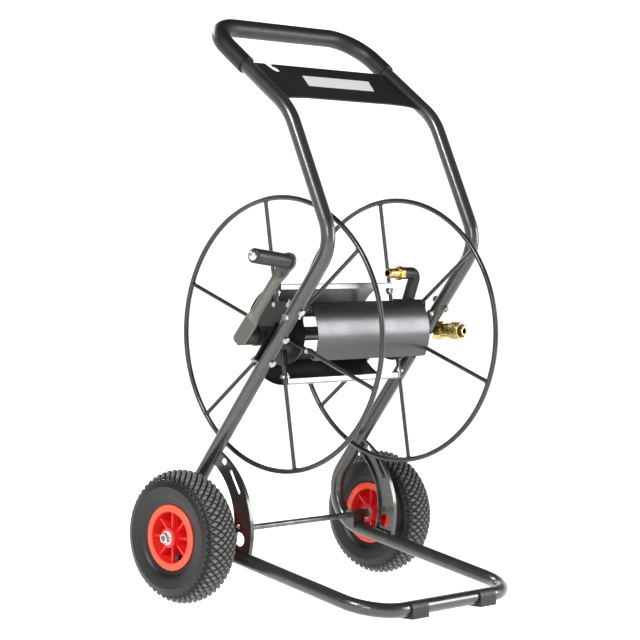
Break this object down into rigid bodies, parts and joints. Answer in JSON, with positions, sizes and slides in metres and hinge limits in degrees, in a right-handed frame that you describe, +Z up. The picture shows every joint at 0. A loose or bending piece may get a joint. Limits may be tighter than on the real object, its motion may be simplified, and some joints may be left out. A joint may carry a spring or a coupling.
{
  "type": "garden hose reel cart",
  "caption": "Two-wheeled hand cart in bent steel tube that carries a cranked wire reel for winding up a garden hose, with swivelling water inlet.",
  "frame": {"origin": "middle of the footprint box, on the floor under tyres and feet", "axes": "+X from the crank side to the water-inlet side, +Y from the toe bar to the wheels, +Z up"},
  "size_m": [0.7118, 0.5814, 1.1439],
  "materials": {
    "handle_bow": "glossy metallic graphite powder coat",
    "base_frame": "glossy metallic graphite powder coat",
    "connector_sleeves": "bare steel, hidden inside the legs",
    "joint_bolts": "zinc plated",
    "gusset_far": "glossy metallic graphite powder coat",
    "gusset_near": "glossy metallic graphite powder coat",
    "handle_sleeve": "satin black foam rubber",
    "cross_plate": "satin near-black powder coat",
    "label_panel": "blank white film",
    "wheel_axle": "dull dark steel",
    "axle_saddles": "glossy metallic graphite powder coat",
    "wheel_spacers": "dull dark steel",
    "axle_washers": "zinc plated",
    "axle_nuts": "zinc plated",
    "bearing_bracket_far": "dark grey powder coat",
    "bearing_bracket_near": "dark grey powder coat",
    "bracket_bolts": "zinc plated",
    "bearing_bush_far": "black moulding",
    "bearing_bush_near": "black moulding",
    "web_screws": "zinc plated",
    "foot_clip_far": "black moulding",
    "foot_clip_near": "black moulding",
    "reel_rim_near": "black powder coat",
    "reel_rim_far": "black powder coat",
    "spokes_near": "black powder coat",
    "spokes_far": "black powder coat",
    "hub_disc_near": "black powder coat",
    "hub_disc_far": "black powder coat",
    "drum_sheet_front": "glossy silver-grey powder coat",
    "drum_sheet_rear": "glossy silver-grey powder coat",
    "drum_sheet_bottom": "glossy silver-grey powder coat",
    "sheet_screws": "zinc plated",
    "axle_pipe": "glossy metallic graphite powder coat",
    "pipe_plug": "black moulding",
    "stop_collar_near": "black powder coat",
    "stop_collar_far": "black powder coat",
    "outlet_tee": "black moulding",
    "outlet_neck": "black moulding",
    "outlet_nipple": "turned brass",
    "crank_arm": "glossy metallic graphite powder coat",
    "crank_hub": "glossy metallic graphite powder coat",
    "crank_bolt": "zinc plated",
    "grip_bolt": "zinc plated",
    "crank_grip": "satin black moulding",
    "inlet_elbow": "turned brass",
    "swivel_seals": "black rubber",
    "inlet_body": "turned brass",
    "inlet_seal": "black rubber",
    "union_nut": "turned brass",
    "tyre_near": "black tyre rubber",
    "wheel_rim_near": "red moulding",
    "valve_near": "black rubber valve stem with cap",
    "hub_bearings_near": "zinc plated bush",
    "tyre_far": "black tyre rubber",
    "wheel_rim_far": "red moulding",
    "valve_far": "black rubber valve stem with cap",
    "hub_bearings_far": "zinc plated bush"
  },
  "bodies": {
    "frame": {"handle_bow": "handle_bow", "base_frame": "base_frame", "connector_sleeves": "connector_sleeves", "joint_bolts": "joint_bolts", "gusset_far": "gusset_far", "gusset_near": "gusset_near", "handle_sleeve": "handle_sleeve", "cross_plate": "cross_plate", "label_panel": "label_panel", "wheel_axle": "wheel_axle", "axle_saddles": "axle_saddles", "wheel_spacers": "wheel_spacers", "axle_washers": "axle_washers", "axle_nuts": "axle_nuts", "bearing_bracket_far": "bearing_bracket_far", "bearing_bracket_near": "bearing_bracket_near", "bracket_bolts": "bracket_bolts", "bearing_bush_far": "bearing_bush_far", "bearing_bush_near": "bearing_bush_near", "web_screws": "web_screws", "foot_clip_far": "foot_clip_far", "foot_clip_near": "foot_clip_near"},
    "reel": {"reel_rim_near": "reel_rim_near", "reel_rim_far": "reel_rim_far", "spokes_near": "spokes_near", "spokes_far": "spokes_far", "hub_disc_near": "hub_disc_near", "hub_disc_far": "hub_disc_far", "drum_sheet_front": "drum_sheet_front", "drum_sheet_rear": "drum_sheet_rear", "drum_sheet_bottom": "drum_sheet_bottom", "sheet_screws": "sheet_screws", "axle_pipe": "axle_pipe", "pipe_plug": "pipe_plug", "stop_collar_near": "stop_collar_near", "stop_collar_far": "stop_collar_far", "outlet_tee": "outlet_tee", "outlet_neck": "outlet_neck", "outlet_nipple": "outlet_nipple", "crank_arm": "crank_arm", "crank_hub": "crank_hub", "crank_bolt": "crank_bolt", "grip_bolt": "grip_bolt"},
    "crank_grip": {"crank_grip": "crank_grip"},
    "inlet": {"inlet_elbow": "inlet_elbow", "swivel_seals": "swivel_seals", "inlet_body": "inlet_body", "inlet_seal": "inlet_seal"},
    "union_nut": {"union_nut": "union_nut"},
    "near_wheel": {"tyre_near": "tyre_near", "wheel_rim_near": "wheel_rim_near", "valve_near": "valve_near", "hub_bearings_near": "hub_bearings_near"},
    "far_wheel": {"tyre_far": "tyre_far", "wheel_rim_far": "wheel_rim_far", "valve_far": "valve_far", "hub_bearings_far": "hub_bearings_far"}
  },
  "joints": [
    {"name": "reel_spin", "type": "hinge", "parent": "frame", "child": "reel", "pos_m": [0.01927, 0.01275, 0.523], "axis": [1, 0, 0], "continuous": true},
    {"name": "grip_spin", "type": "hinge", "parent": "reel", "child": "crank_grip", "pos_m": [-0.24703, -0.10602, 0.66455], "axis": [-0.9903, -0.0895, 0.1066], "continuous": true},
    {"name": "inlet_swivel", "type": "hinge", "parent": "frame", "child": "inlet", "pos_m": [0.26527, 0.01275, 0.523], "axis": [1, 0, 0], "continuous": true},
    {"name": "union_nut_spin", "type": "hinge", "parent": "inlet", "child": "union_nut", "pos_m": [0.26527, -0.08725, 0.523], "axis": [0, -1, 0], "continuous": true},
    {"name": "near_wheel_spin", "type": "hinge", "parent": "frame", "child": "near_wheel", "pos_m": [-0.26753, 0.16075, 0.13], "axis": [1, 0, 0], "continuous": true},
    {"name": "far_wheel_spin", "type": "hinge", "parent": "frame", "child": "far_wheel", "pos_m": [0.30607, 0.16075, 0.13], "axis": [1, 0, 0], "continuous": true}
  ]
}
